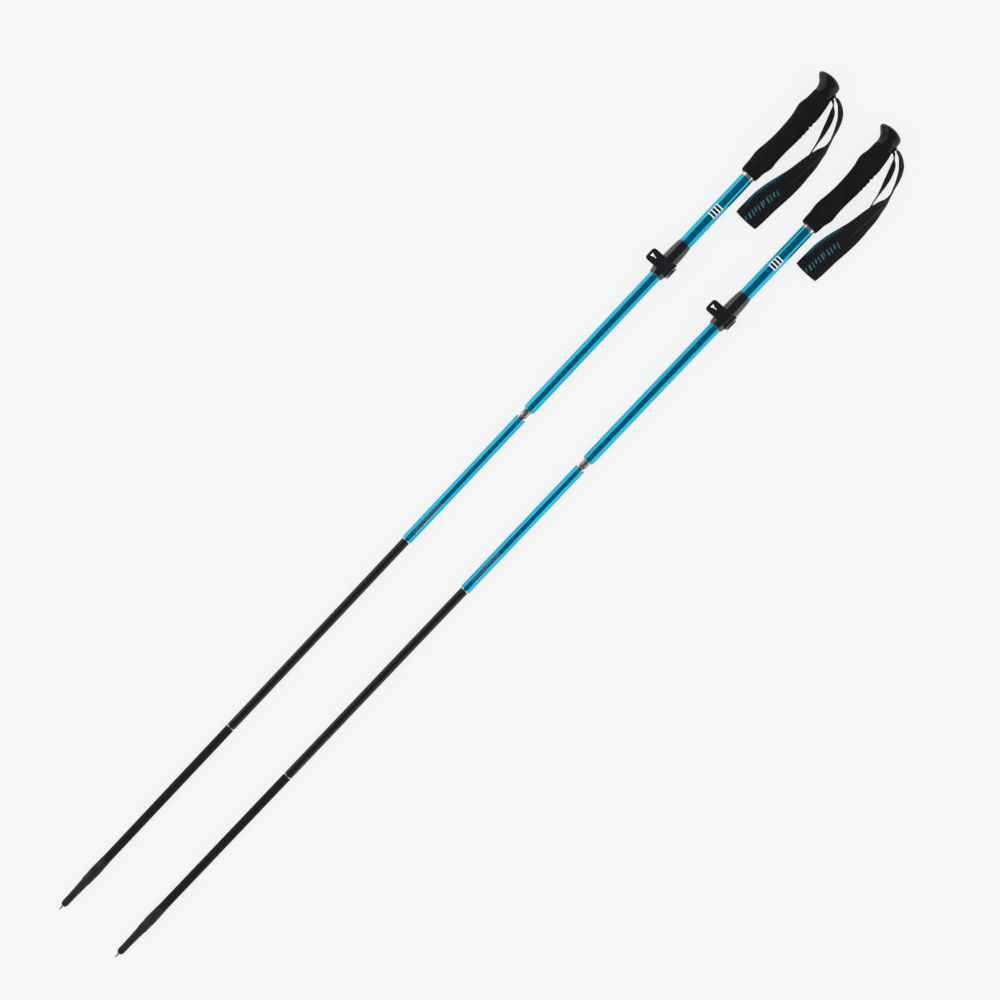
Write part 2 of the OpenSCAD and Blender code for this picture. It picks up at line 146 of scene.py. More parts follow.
def loft(rings):
    """Points and faces of a closed skin over rings, each with the same number of points."""
    size = len(rings[0])
    points = [p for ring in rings for p in ring]
    faces = ring_faces(len(rings), size)
    faces.append(tuple(reversed(range(size))))
    faces.append(tuple((len(rings) - 1) * size + i for i in range(size)))
    return points, faces


def turned_rings(profile, segments=48):
    """Rings about the pole's axis, from a profile of (station, radius)."""
    angles = [2 * math.pi * i / segments for i in range(segments)]
    return [[(s, r * math.cos(a), r * math.sin(a)) for a in angles] for s, r in profile]


def smooth_rows(rows, steps, knot_columns=3):
    """A centripetal Catmull-Rom curve through rows of numbers, with steps samples to a span."""
    rows = np.array(rows, float)
    padded = np.vstack([2 * rows[0] - rows[1], rows, 2 * rows[-1] - rows[-2]])
    out = []
    for k in range(1, len(padded) - 2):
        p = padded[k - 1 : k + 3]
        gaps = np.linalg.norm(np.diff(p[:, :knot_columns], axis=0), axis=1) ** 0.5
        t = np.concatenate([[0], np.cumsum(np.maximum(gaps, 1e-6))])
        for u in np.linspace(t[1], t[2], steps, endpoint=False):
            a = [(t[j + 1] - u) / (t[j + 1] - t[j]) * p[j] + (u - t[j]) / (t[j + 1] - t[j]) * p[j + 1]
                 for j in range(3)]
            b = [(t[j + 2] - u) / (t[j + 2] - t[j]) * a[j] + (u - t[j]) / (t[j + 2] - t[j]) * a[j + 1]
                 for j in range(2)]
            out.append((t[2] - u) / (t[2] - t[1]) * b[0] + (u - t[1]) / (t[2] - t[1]) * b[1])
    out.append(rows[-1])
    return np.array(out)


def finish_piece(piece, body, slot, *replaced):
    """Hangs a piece on its CAD body, and hides the CAD nodes it stands for. Its finish, slot, is not used."""
    side = piece.name.split("_")[0]
    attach(piece, f"{side}_{body}")
    if replaced:
        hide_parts(*[f"{side}_{node}" for node in replaced])
    return piece


# ---- Materials ----


class Paint:
    """A Principled material, with short calls for the textures that feed it."""

    def __init__(self, name, colour, roughness, metallic=0.0, **sockets):
        self.material = bpy.data.materials.new(name)
        self.material.use_nodes = True
        self.tree = self.material.node_tree
        self.shader = self.tree.nodes["Principled BSDF"]
        self.shader.inputs["Base Color"].default_value = (*colour, 1)
        self.shader.inputs["Roughness"].default_value = roughness
        self.shader.inputs["Metallic"].default_value = metallic
        for socket, value in sockets.items():
            self.shader.inputs[socket.replace("_", " ")].default_value = value
        self.height = None

    def node(self, kind, **values):
        made = self.tree.nodes.new(kind)
        for key, value in values.items():
            setattr(made, key, value)
        return made

    def join(self, out, into):
        self.tree.links.new(out, into)

    def place(self, scale, layer=None):
        """Coordinates times scale: the row frame's metres, or a mesh's own cloth layer."""
        stretch = self.node("ShaderNodeMapping")
        stretch.inputs["Scale"].default_value = scale
        if layer:
            self.join(self.node("ShaderNodeUVMap", uv_map=layer).outputs["UV"], stretch.inputs["Vector"])
        else:
            source = self.node("ShaderNodeTexCoord").outputs["Object"]
            self.join(source, stretch.inputs["Vector"])
        return stretch.outputs["Vector"]

    def noise(self, scale, detail=3.0, rough=0.55, layer=None):
        made = self.node("ShaderNodeTexNoise")
        made.inputs["Scale"].default_value = 1.0
        made.inputs["Detail"].default_value = detail
        made.inputs["Roughness"].default_value = rough
        self.join(self.place(scale, layer), made.inputs["Vector"])
        return made.outputs["Fac"]

    def cells(self, scale, feature="F1"):
        made = self.node("ShaderNodeTexVoronoi", feature=feature)
        made.inputs["Scale"].default_value = 1.0
        self.join(self.place(scale), made.inputs["Vector"])
        return made.outputs["Distance"]

    def wave(self, scale, direction, layer=None):
        made = self.node("ShaderNodeTexWave", bands_direction=direction, wave_profile="SIN")
        made.inputs["Scale"].default_value = 1.0
        made.inputs["Distortion"].default_value = 0.0
        self.join(self.place(scale, layer), made.inputs["Vector"])
        return made.outputs["Fac"]

    def ramp(self, value, stops):
        """value through a colour ramp of (place, colour or grey) stops."""
        made = self.node("ShaderNodeValToRGB")
        elements = made.color_ramp.elements
        while len(elements) < len(stops):
            elements.new(0.5)
        for element, (at, shade) in zip(elements, stops):
            element.position = at
            element.color = (*shade, 1) if isinstance(shade, tuple) else (shade, shade, shade, 1)
        self.join(value, made.inputs["Fac"])
        return made.outputs["Color"]

    def maths(self, operation, a, b):
        made = self.node("ShaderNodeMath", operation=operation)
        for socket, value in zip(made.inputs, (a, b)):
            if isinstance(value, (int, float)):
                socket.default_value = value
            else:
                self.join(value, socket)
        return made.outputs[0]

    def colour(self, value):
        self.join(value, self.shader.inputs["Base Color"])

    def roughness(self, value, low, high):
        """Roughness from low to high as value goes from 0 to 1."""
        made = self.node("ShaderNodeMapRange")
        made.inputs["To Min"].default_value = low
        made.inputs["To Max"].default_value = high
        self.join(value, made.inputs["Value"])
        self.join(made.outputs["Result"], self.shader.inputs["Roughness"])

    def bump(self, value, depth_mm, strength=1.0):
        """Adds relief depth_mm deep to the surface."""
        made = self.node("ShaderNodeBump")
        made.inputs["Strength"].default_value = strength
        made.inputs["Distance"].default_value = depth_mm * MM
        self.join(value, made.inputs["Height"])
        if self.height is not None:
            self.join(self.height, made.inputs["Normal"])
        self.height = made.outputs["Normal"]
        self.join(self.height, self.shader.inputs["Normal"])


def foam_material():
    """Matte closed-cell foam: fine pores, and a faint mottling where hands have polished it."""
    paint = Paint("grip_foam", (0.005, 0.005, 0.0054), 0.85, Specular_IOR_Level=0.13)
    mottle = paint.noise((60, 60, 60), detail=4)
    paint.colour(paint.ramp(mottle, [(0.3, (0.0032, 0.0032, 0.0037)), (0.7, (0.0066, 0.0066, 0.0072))]))
    paint.roughness(mottle, 0.72, 0.95)
    paint.bump(paint.cells((900, 900, 900)), 0.16, 0.8)
    paint.bump(paint.noise((2600, 2600, 2600), detail=2), 0.06, 0.6)
    return paint.material


def satin_material():
    """Black moulded plastic of the grip's head, with a fine spark-eroded grain."""
    paint = Paint("moulded_black", (0.004, 0.004, 0.0043), 0.36, Specular_IOR_Level=0.28)
    wear = paint.noise((45, 45, 45), detail=5)
    paint.colour(paint.ramp(wear, [(0.35, (0.0028, 0.0028, 0.003)), (0.75, (0.006, 0.006, 0.0063))]))
    paint.roughness(wear, 0.2, 0.36)
    paint.bump(paint.noise((2200, 2200, 2200), detail=2), 0.02, 0.35)
    return paint.material


def gloss_material():
    """Polished black plastic of the lever lock, with faint handling marks."""
    paint = Paint("lock_black", (0.003, 0.003, 0.003), 0.14, Specular_IOR_Level=0.7, Coat_Weight=0.5)
    paint.shader.inputs["Coat IOR"].default_value = 1.6
    marks = paint.noise((30, 160, 160), detail=6, rough=0.7)
    paint.colour(paint.ramp(marks, [(0.4, (0.0013, 0.001, 0.001)), (0.8, (0.0035, 0.0028, 0.0028))]))
    paint.roughness(marks, 0.09, 0.2)
    paint.bump(paint.noise((900, 900, 900), detail=2), 0.012, 0.25)
    return paint.material


def grey_plastic_material():
    paint = Paint("grey_plastic", (0.2, 0.2, 0.2), 0.45)
    grain = paint.noise((220, 220, 220), detail=4)
    paint.colour(paint.ramp(grain, [(0.3, (0.16, 0.16, 0.163)), (0.7, (0.25, 0.25, 0.255))]))
    paint.roughness(grain, 0.36, 0.55)
    paint.bump(paint.noise((1800, 1800, 1800)), 0.02, 0.3)
    return paint.material


def anodised_material(name, low, high, smooth, rough, specular=0.5):
    """Anodised drawn tube: the drawing lines run along it, and the dye varies a little."""
    paint = Paint(name, low, smooth, metallic=1.0, Specular_IOR_Level=specular)
    dye = paint.noise((9, 60, 60), detail=3)
    lines = paint.noise((6, 2600, 2600), detail=3, rough=0.6)
    paint.colour(paint.ramp(dye, [(0.3, low), (0.7, high)]))
    paint.roughness(lines, smooth, rough)
    paint.bump(lines, 0.006, 0.25)
    return paint.material


def black_tube_material(name, base, smooth, rough, specular):
    """Black anodised drawn tube, with faint drawing lines and scuffs along it."""
    paint = Paint(name, base, smooth, Specular_IOR_Level=specular)
    scuff = paint.noise((26, 300, 300), detail=6, rough=0.7)
    lines = paint.noise((6, 2600, 2600), detail=3, rough=0.6)
    light = tuple(1.9 * c for c in base)
    paint.colour(paint.ramp(scuff, [(0.35, base), (0.62, tuple(1.25 * c for c in base)), (0.8, light)]))
    paint.roughness(lines, smooth, rough)
    paint.bump(lines, 0.006, 0.25)
    return paint.material


def bright_material():
    """Machined aluminium of the noses, with turning marks round them."""
    paint = Paint("bright_aluminium", (0.78, 0.78, 0.78), 0.24, metallic=1.0)
    marks = paint.noise((3200, 40, 40), detail=2)
    paint.colour(paint.ramp(marks, [(0.3, (0.68, 0.68, 0.69)), (0.7, (0.86, 0.86, 0.86))]))
    paint.roughness(marks, 0.16, 0.32)
    paint.bump(marks, 0.01, 0.3)
    return paint.material


def ferrule_material():
    """Polished steel. Noise mottles its colour from near black through copper to near white: painted
    reflections of dark, warm and bright surroundings.
    """
    paint = Paint("steel", (0.46, 0.43, 0.41), 0.2, metallic=1.0)
    # Painted reflections: this noise mottles the steel's base colour from near black through copper to near
    # white.
    painted_reflection_mottle = paint.noise((330, 260, 260), detail=4, rough=0.6)
    shade = paint.ramp(painted_reflection_mottle, [(0.36, (0.11, 0.098, 0.098)), (0.44, (0.29, 0.25, 0.24)),
                              (0.51, (0.43, 0.29, 0.22)), (0.58, (0.45, 0.42, 0.41)),
                              (0.68, (0.86, 0.85, 0.83))])
    paint.colour(shade)
    paint.roughness(paint.noise((900, 900, 900)), 0.24, 0.48)
    paint.bump(paint.noise((2600, 60, 60)), 0.008, 0.3)
    return paint.material


def carbide_material():
    paint = Paint("carbide", (0.42, 0.41, 0.40), 0.34, metallic=1.0)
    grain = paint.noise((2400, 2400, 2400), detail=2)
    paint.colour(paint.ramp(grain, [(0.3, (0.30, 0.29, 0.285)), (0.7, (0.52, 0.51, 0.50))]))
    paint.roughness(grain, 0.24, 0.46)
    paint.bump(grain, 0.015, 0.4)
    return paint.material


def rubber_material():
    """Tip cone: hard moulded rubber, scuffed grey in patches by stones."""
    paint = Paint("tip_rubber", (0.010, 0.010, 0.0105), 0.6, Specular_IOR_Level=0.3)
    scuff = paint.noise((70, 160, 160), detail=8, rough=0.72)
    paint.colour(paint.ramp(scuff, [(0.45, (0.0085, 0.0085, 0.009)), (0.62, (0.014, 0.014, 0.0145)),
                                    (0.75, (0.034, 0.033, 0.032))]))
    paint.roughness(scuff, 0.42, 0.8)
    paint.bump(scuff, 0.08, 0.4)
    return paint.material


def fabric_material(name, low, high, pitch_mm=0.7, sheen=0.06):
    """Plain-woven tape: its two sets of yarns cross on the mesh's own cloth layer."""
    paint = Paint(name, low, 0.82, Sheen_Weight=sheen, Sheen_Roughness=0.4, Specular_IOR_Level=0.12)
    paint.shader.inputs["Sheen Tint"].default_value = (0.62, 0.82, 0.88, 1)
    rate = 1.0 / pitch_mm * 0.5
    warp = paint.wave((rate, rate, 1), "X", "cloth")
    weft = paint.wave((rate, rate, 1), "Y", "cloth")
    crossed = paint.maths("MULTIPLY", warp, weft)
    yarn = paint.noise((0.5, 2.2, 1), detail=4, layer="cloth")
    shade = paint.maths("ADD", paint.maths("MULTIPLY", crossed, 0.6), paint.maths("MULTIPLY", yarn, 0.5))
    paint.colour(paint.ramp(shade, [(0.15, low), (0.85, high)]))
    paint.roughness(yarn, 0.7, 0.95)
    paint.bump(crossed, 0.14, 0.6)
    return paint.material


def thread_material(name, low, high):
    """Twisted yarn of stitches and cords."""
    paint = Paint(name, low, 0.75, Sheen_Weight=0.2, Specular_IOR_Level=0.3)
    strand = paint.noise((900, 900, 900), detail=3)
    paint.colour(paint.ramp(strand, [(0.3, low), (0.7, high)]))
    paint.bump(strand, 0.05, 0.5)
    return paint.material


def ink_material(name, low, high, roughness=0.4):
    """Screen-printed ink, a little uneven."""
    paint = Paint(name, low, roughness)
    grain = paint.noise((700, 700, 700), detail=4)
    paint.colour(paint.ramp(grain, [(0.3, low), (0.7, high)]))
    paint.roughness(grain, roughness - 0.08, roughness + 0.1)
    return paint.material


PAINTS = {
    "grip_foam": foam_material(),
    "moulded_black": satin_material(),
    "lock_black": gloss_material(),
    "grey_plastic": grey_plastic_material(),
    "cyan_tube": anodised_material("cyan_tube", (0.014, 0.45, 0.71), (0.022, 0.53, 0.79), 0.11, 0.2),
    "black_tube": black_tube_material("black_tube", (0.0048, 0.0048, 0.0048), 0.24, 0.36, 0.36),
    "worn_tube": black_tube_material("worn_tube", (0.0066, 0.0066, 0.0066), 0.42, 0.55, 0.12),
    "bright_aluminium": bright_material(),
    "steel": ferrule_material(),
    "carbide": carbide_material(),
    "tip_rubber": rubber_material(),
    "strap_fabric": fabric_material("strap_fabric", (0.004, 0.004, 0.0045), (0.0105, 0.0105, 0.0112)),
    "binding": fabric_material("binding", (0.006, 0.006, 0.0065), (0.015, 0.015, 0.016), 0.5, 0.1),
    "teal": fabric_material("teal", (0.003, 0.055, 0.085), (0.008, 0.13, 0.18), 0.5, 0.08),
    "thread": thread_material("thread", (0.007, 0.007, 0.0075), (0.02, 0.02, 0.021)),
    "cord": thread_material("cord", (0.45, 0.45, 0.43), (0.72, 0.72, 0.69)),
    "white_ink": ink_material("white_ink", (0.80, 0.82, 0.83), (0.92, 0.93, 0.93)),
    "dark_ink": ink_material("dark_ink", (0.006, 0.012, 0.015), (0.014, 0.022, 0.026)),
    "pale_ink": ink_material("pale_ink", (0.30, 0.42, 0.45), (0.50, 0.60, 0.62)),
    "teal_ink": ink_material("teal_ink", (0.004, 0.055, 0.085), (0.012, 0.17, 0.22), 0.6),
}
PLAIN_NODES = {
    "grip_collar": "bright_aluminium", "upper_tube": "cyan_tube", "lock_housing": "lock_black",
    "lever_pin": "steel", "dial_washer": "grey_plastic", "lock_lever": "lock_black",
    "tension_dial": "lock_black", "strap_swivel": "moulded_black", "extension_tube": "cyan_tube",
    "extension_bushes": "grey_plastic", "ferrule": "steel", "ferrule_guide": "grey_plastic",
    "button_spring": "steel", "snap_button": "steel", "fold_tube_1": "cyan_tube",
    "socket_1": "grey_plastic", "nose_2": "bright_aluminium", "fold_tube_2": "black_tube",
    "socket_2": "grey_plastic", "nose_3": "bright_aluminium", "fold_tube_3": "worn_tube",
    "socket_3": "grey_plastic", "tip_cone": "tip_rubber", "carbide_tip": "carbide",
}


# Width of the softened edges of the lock's pieces
SOFT_EDGES = {"lock_housing": 0.35, "lock_lever": 0.6, "tension_dial": 0.2}


def paint_cad_nodes():
    """Gives every CAD node that shows its finished material, and softens the lock's edges."""
    for side in SIDES:
        for name, paint in PLAIN_NODES.items():
            node = NODES[f"{side}_{name}"]
            for k in range(len(node.material_slots)):
                node.material_slots[k].material = PAINTS[paint]
        for name, width in SOFT_EDGES.items():
            bevel = NODES[f"{side}_{name}"].modifiers.new("soft_edges", "BEVEL")
            bevel.width = width * MM
            bevel.segments = 3
            bevel.limit_method = "ANGLE"
            bevel.angle_limit = math.radians(35)
            bevel.harden_normals = True


# ---- Grip ----

# Offset from the grip's bottom, strap side in Y, lever side in Y, half height
FOAM_OUTLINE = [
    (0, -8.2, 10.2, 10.5), (0.8, -9.6, 11.6, 11.8), (3, -10.3, 12.3, 12.4), (14, -11.3, 12.8, 12.9),
    (21, -13.2, 13.5, 13.4), (25.5, -13.8, 14, 13.5), (33, -13.1, 13.6, 13.2),
    (43, -12.8, 12.3, 12.8), (53, -13, 11.5, 12.6), (65, -13.7, 11.3, 12.6),
    (78, -14.3, 11.7, 12.8), (91, -14.2, 13, 13.1), (99, -14, 14.8, 13.3), (104, -13.9, 15.5, 13.3),
    (109, -13.6, 14.9, 13.1), (114, -13, 13.9, 12.7), (122, -11.8, 13.5, 12.2), (128, -10.6, 13.4, 12)]
# Offset from the foam's top, strap side, lever side, half height
HEAD_OUTLINE = [
    (0, -10.4, 13.3, 11.9), (4.5, -9.7, 13.5, 11.8), (8.5, -9, 14.8, 12), (11.5, -8.9, 16.6, 12.6),
    (14.5, -9, 19.6, 13.3), (17, -8.9, 22, 13.4), (19.3, -8.3, 23.2, 13.4), (21.2, -7, 22.6, 13),
    (22.9, -4.4, 20.3, 11.8), (24, -1, 16, 8.8), (24.5, 2.5, 11, 4.5)]
# Grip ribs: offset from the grip's bottom, depth
RIBS = [(72.5, 0.4), (78.5, 0.9), (85, 0.8), (91.2, 2.2), (97.5, 1.1)]


def rib_depth(offset, angle):
    """How far the grooves between the ribs cut into the strap side of the foam."""
    reach = max(0.0, math.cos(angle - math.pi))
    return sum(d * math.exp(-(((offset - at) / 1.15) ** 2)) for at, d in RIBS) * min(1, reach * 1.7)


def grip_foam(side):
    """Foam sleeve with a flare, a finger bump and ribs, open along the upper tube."""
    angles = np.linspace(0, 2 * math.pi, 80, endpoint=False)
    bore = UPPER_TUBE_R + 0.02
    rings = [[(GRIP_BOTTOM + 0.15, radius * math.cos(a), radius * math.sin(a)) for a in angles]
             for radius in (bore, 9.0)]
    for offset, low, high, half in smooth_rows(FOAM_OUTLINE, 9, knot_columns=1):
        ring = []
        for a in angles:
            cut = rib_depth(offset, a)
            width = (high - low) / 2
            y = (low + high) / 2 + (width - cut * abs(math.cos(a))) * math.cos(a)
            z = (half - 0.35 * cut * abs(math.sin(a))) * math.sin(a)
            ring.append((GRIP_BOTTOM + offset, y, z))
        rings.append(ring)
    rings.append([(FOAM_TOP, bore * math.cos(a), bore * math.sin(a)) for a in angles])
    points = [p for ring in rings for p in ring]
    faces = ring_faces(len(rings), len(angles), closed=True)
    piece = mesh_piece("foam_grip", side, points, faces, PAINTS["grip_foam"])
    finish_piece(piece, "handle", "grip_foam", "grip_foam")


def grip_head(side):
    """Moulded head: a palm rest with a beak over a hollow, which narrows towards the beak."""
    segments = 80
    rows = smooth_rows(HEAD_OUTLINE, 8, knot_columns=1)
    rings = []
    for offset, low, high, half in rows:
        # The beak grows between 6 and 16 mm above the foam, over a hollow at 7.5 mm
        beak = max(0.0, min(1.0, (offset - 6) / 10))
        under_beak = math.exp(-(((offset - 7.5) / 3.8) ** 2))
        # The boss round the strap's foot runs from the foam to 17 mm above it
        boss_height = 0.7 * min(1, max(0, (17 - offset) / 3), offset / 3)
        ring = []
        for a in np.linspace(0, 2 * math.pi, segments, endpoint=False):
            pinch = 1 - 0.30 * beak * max(0.0, math.cos(a)) ** 2
            hollow = under_beak * (0.8 + 3.4 * max(0.0, math.cos(a)) * abs(math.sin(a)))
            y = (low + high) / 2 + (high - low) / 2 * math.cos(a)
            boss = boss_height * math.exp(-(((y + 6.3) / 1.5) ** 2))
            z = (half - hollow + boss) * math.sin(a) * pinch
            ring.append((FOAM_TOP + offset, y, z))
        rings.append(ring)
    lip = [(FOAM_TOP + 0.05, 0.985 * y, 0.985 * z) for _, y, z in rings[0]]
    points, faces = loft([lip] + rings[1:])
    piece = mesh_piece("palm_head", side, points, faces, PAINTS["moulded_black"])
    finish_piece(piece, "handle", "moulded_black", "grip_head")


# ---- Wrist strap ----

# The strap's route: station, Y, Z, half width, roll in degrees (90 stands the webbing on edge)
OUTER_LEG = [
    (1335.2, -10.9, 0, 3.6, 78), (1335.3, -13, 0, 5, 64), (1333, -20, 0, 5.2, 57),
    (1326.5, -28, 0, 5.2, 48), (1320, -32.8, 0, 5.2, 53), (1310, -37.4, 0.1, 5.2, 63),
    (1300, -40.6, 0.3, 5.2, 75)]
BAND = [
    (1293, -42.9, 0.6, 8.4, 80), (1282, -44.6, 0.8, 9.8, 73), (1272, -43.6, 1, 10.8, 60),
    (1260, -43.1, 1.2, 11.5, 46), (1245, -42.2, 1.4, 12.2, 37), (1230, -41.2, 1.2, 13, 27),
    (1215, -38.9, 0.4, 14, 15), (1202, -36.6, -1.2, 14.7, 6), (1190, -35, -2.4, 15.2, 0),
    (1178, -34.3, -3.2, 15.3, 0), (1167, -33.8, -3.6, 15.2, 0), (1160.6, -33.5, -4.6, 14.8, 0),
    (1158.4, -33.4, -7.4, 14.6, 0), (1160.6, -33.5, -10.4, 14.8, 0), (1167, -33.8, -11.4, 15, 0),
    (1180, -34.4, -11.5, 15, 0), (1200, -36.6, -11.6, 13.8, 0), (1222, -40.6, -11.4, 11.6, 0),
    (1240, -42.2, -10.6, 9.8, 4), (1254, -42.6, -8.8, 8.4, 14), (1264, -38.8, -6.8, 6, 44)]
INNER_LEG = [
    (1270, -35, -6, 5.2, 82), (1280, -32.9, -5.6, 5.2, 82), (1290, -30.9, -4.8, 5.2, 70),
    (1300, -28.4, -3.8, 5.2, 55), (1310, -25.4, -3, 5.2, 48), (1320, -21.2, -2, 5.2, 53),
    (1325.2, -17.6, -1.4, 5.2, 72), (1328.4, -14.5, -0.7, 4.6, 88), (1330.2, -12.4, 0, 4, 96),
    (1331, -10.9, 0, 3.4, 98)]
STRAP_ROUTE = OUTER_LEG + BAND + INNER_LEG
STRAP_STEPS = 10
# Samples at the band's two ends and at its turn, and how far the legs reach into the band
BAND_FIRST = len(OUTER_LEG) * STRAP_STEPS
BAND_LAST = (len(OUTER_LEG) + len(BAND) - 1) * STRAP_STEPS
BAND_TURN = BAND_FIRST + 12 * STRAP_STEPS
LEG_OVERLAP = 16
# The band swings square to the pole between these stations, and stays so round its turn
SQUARE_FROM = 1216
SQUARE_AT = 1190
WEBBING_T = 1.5
BAND_T = 2.9
BAND_CROWN = 0.35


class Strap:
    """The strap's sampled route, with the directions along, across and out of the webbing."""

    def __init__(self):
        rows = smooth_rows(STRAP_ROUTE, STRAP_STEPS)
        self.centre, self.half = rows[:, :3], rows[:, 3]
        roll = np.radians(rows[:, 4])
        self.along = np.gradient(self.centre, axis=0)
        self.along /= np.linalg.norm(self.along, axis=1)[:, None]
        sideways = np.stack([self.along[:, 1], -self.along[:, 0]], axis=1)
        sideways[BAND_TURN:] *= -1
        square = np.clip((SQUARE_FROM - self.centre[:, 0]) / (SQUARE_FROM - SQUARE_AT), 0, 1)[:, None]
        square = square * square * (3 - 2 * square)
        sideways /= np.linalg.norm(sideways, axis=1)[:, None]
        sideways = sideways * (1 - square) + np.array((0, 1)) * square
        sideways /= np.linalg.norm(sideways, axis=1)[:, None]
        self.across = np.column_stack([sideways * np.cos(roll)[:, None], np.sin(roll)])
        self.out = np.cross(self.along, self.across)
        self.out /= np.linalg.norm(self.out, axis=1)[:, None]
        steps = np.linalg.norm(np.diff(self.centre, axis=0), axis=1)
        self.length = np.concatenate([[0], np.cumsum(steps)])

    def point(self, k, across, out):
        """The point at sample k, across (-1 to 1) of the half width and out millimetres."""
        return self.centre[k] + self.across[k] * across * self.half[k] - self.out[k] * out

    def upper_sample(self, station):
        """The sample of the upper layer, before the turn, that is nearest to a station."""
        upper = self.centre[:BAND_TURN, 0]
        return int(np.argmin(np.abs(upper - station)))


STRAP = Strap()


def face_height(across, thickness, crown):
    """Height of a tape's face over its middle layer. The tape is thinner towards its edges."""
    lift = math.cos(math.pi / 2 * across) ** 0.6
    return thickness / 2 * (0.55 + 0.45 * lift) + crown * lift


def swept_tape(first, last, thickness, crown, taper=0):
    """A closed tape along the strap's samples, narrow and thin for taper samples at each end.

    Returns points, faces and cloth coordinates; the tape's back lies 60 mm aside on the cloth.
    """
    columns = 14
    rings, cloth = [], []
    for k in range(first, last + 1):
        end = min(k - first, last - k)
        share = 1.0 if taper == 0 else min(1.0, 0.35 + 0.65 * (end / taper) ** 0.5)
        ring, flat = [], []
        for sign in (1, -1):
            for i in range(columns) if sign == 1 else reversed(range(columns)):
                v = -1 + 2 * i / (columns - 1)
                height = face_height(v, thickness, crown)
                if taper:
                    height *= min(1.0, 0.25 + 0.75 * end / taper)
                elif end == 0:
                    height *= 0.35
                ring.append(STRAP.point(k, v * share, sign * height))
                flat.append((STRAP.length[k], v * STRAP.half[k] + (60 if sign < 0 else 0)))
        rings.append(ring)
        cloth += flat
    points, faces = loft(rings)
    return points, faces, cloth


def strap_legs(side):
    """The two legs of narrow webbing, from the swivel into the padded band's ends."""
    last = len(STRAP.length) - 1
    legs = (("outer_leg", 0, BAND_FIRST + LEG_OVERLAP), ("inner_leg", BAND_LAST - LEG_OVERLAP, last))
    for name, start, stop in legs:
        points, faces, cloth = swept_tape(start, stop, WEBBING_T, crown=0.0)
        piece = mesh_piece(f"strap_{name}", side, points, faces, PAINTS["strap_fabric"], cloth)
        finish_piece(piece, "strap", "strap_fabric")


def strap_band(side):
    """The padded band: it stands for the CAD strap."""
    points, faces, cloth = swept_tape(BAND_FIRST, BAND_LAST, BAND_T, BAND_CROWN, taper=14)
    piece = mesh_piece("strap_band", side, points, faces, PAINTS["strap_fabric"], cloth)
    finish_piece(piece, "strap", "strap_fabric", "wrist_strap")


def swept_bead(samples, across, out, radii, sides=8):
    """A round bead along the strap at a fixed place across it: points, faces, cloth."""
    rings, cloth = [], []
    for k, v, h, r in zip(samples, across, out, radii):
        middle = STRAP.point(k, v, h)
        ring = []
        for i in range(sides):
            a = 2 * math.pi * i / sides
            ring.append(middle + STRAP.across[k] * r * math.cos(a) - STRAP.out[k] * r * math.sin(a))
            cloth.append((STRAP.length[k], a * r))
        rings.append(ring)
    points, faces = loft(rings)
    return points, faces, cloth


def strap_trims(side):
    """Bound edges, the teal piping along the pole's side and the raised seam."""
    first, last = BAND_FIRST + 2, BAND_LAST - 2
    samples = range(first, last + 1)
    teal_start, teal_stop = STRAP.upper_sample(1224), STRAP.upper_sample(1168)
    for name, v in (("outer_binding", -0.985), ("inner_binding", 0.985)):
        ends = [min(k - first, last - k) for k in samples]
        radii = [1.15 * min(1.0, 0.3 + 0.7 * (e / 10) ** 0.5) for e in ends]
        reach = [v * min(1.0, (0.40 + 0.60 * ((e + 2) / 14) ** 0.5)) for e in ends]
        made = swept_bead(samples, reach, [0] * len(radii), radii, 10)
        piece = mesh_piece(f"strap_{name}", side, *made[:2], PAINTS["binding"], made[2])
        finish_piece(piece, "strap", "strap_fabric")
    samples = range(teal_start, teal_stop + 1)
    ends = [min(k - teal_start, teal_stop - k) for k in samples]
    for name, v, out, size in (("piping", 1.02, 0.8, 0.95), ("piping_line", 0.9, 1.25, 0.5)):
        radii = [size * min(1.0, 0.15 + 0.85 * (e / 9)) for e in ends]
        made = swept_bead(samples, [v] * len(ends), [out] * len(ends), radii)
        piece = mesh_piece(f"strap_{name}", side, *made[:2], PAINTS["teal"], made[2])
        finish_piece(piece, "strap", "strap_fabric")
    start, stop = STRAP.upper_sample(1281), STRAP.upper_sample(1219)
    samples = range(start, stop + 1)
    ends = [min(k - start, stop - k) for k in samples]
    radii = [0.5 * min(1.0, 0.2 + 0.8 * (e / 8)) for e in ends]
    made = swept_bead(samples, [-0.12] * len(ends), [1.62] * len(ends), radii)
    piece = mesh_piece("strap_seam", side, *made[:2], PAINTS["thread"], made[2])
    finish_piece(piece, "strap", "strap_fabric")


def route_place(length):
    """The sample before a length along the strap, and the share of the way to the next one."""
    k = int(np.clip(np.searchsorted(STRAP.length, length) - 1, 0, len(STRAP.length) - 2))
    return k, (length - STRAP.length[k]) / (STRAP.length[k + 1] - STRAP.length[k])


def surface_point(length, across, out):
    """The point at a length along the strap, across its half width and out millimetres."""
    k, share = route_place(length)
    return STRAP.point(k, across, out) * (1 - share) + STRAP.point(k + 1, across, out) * share


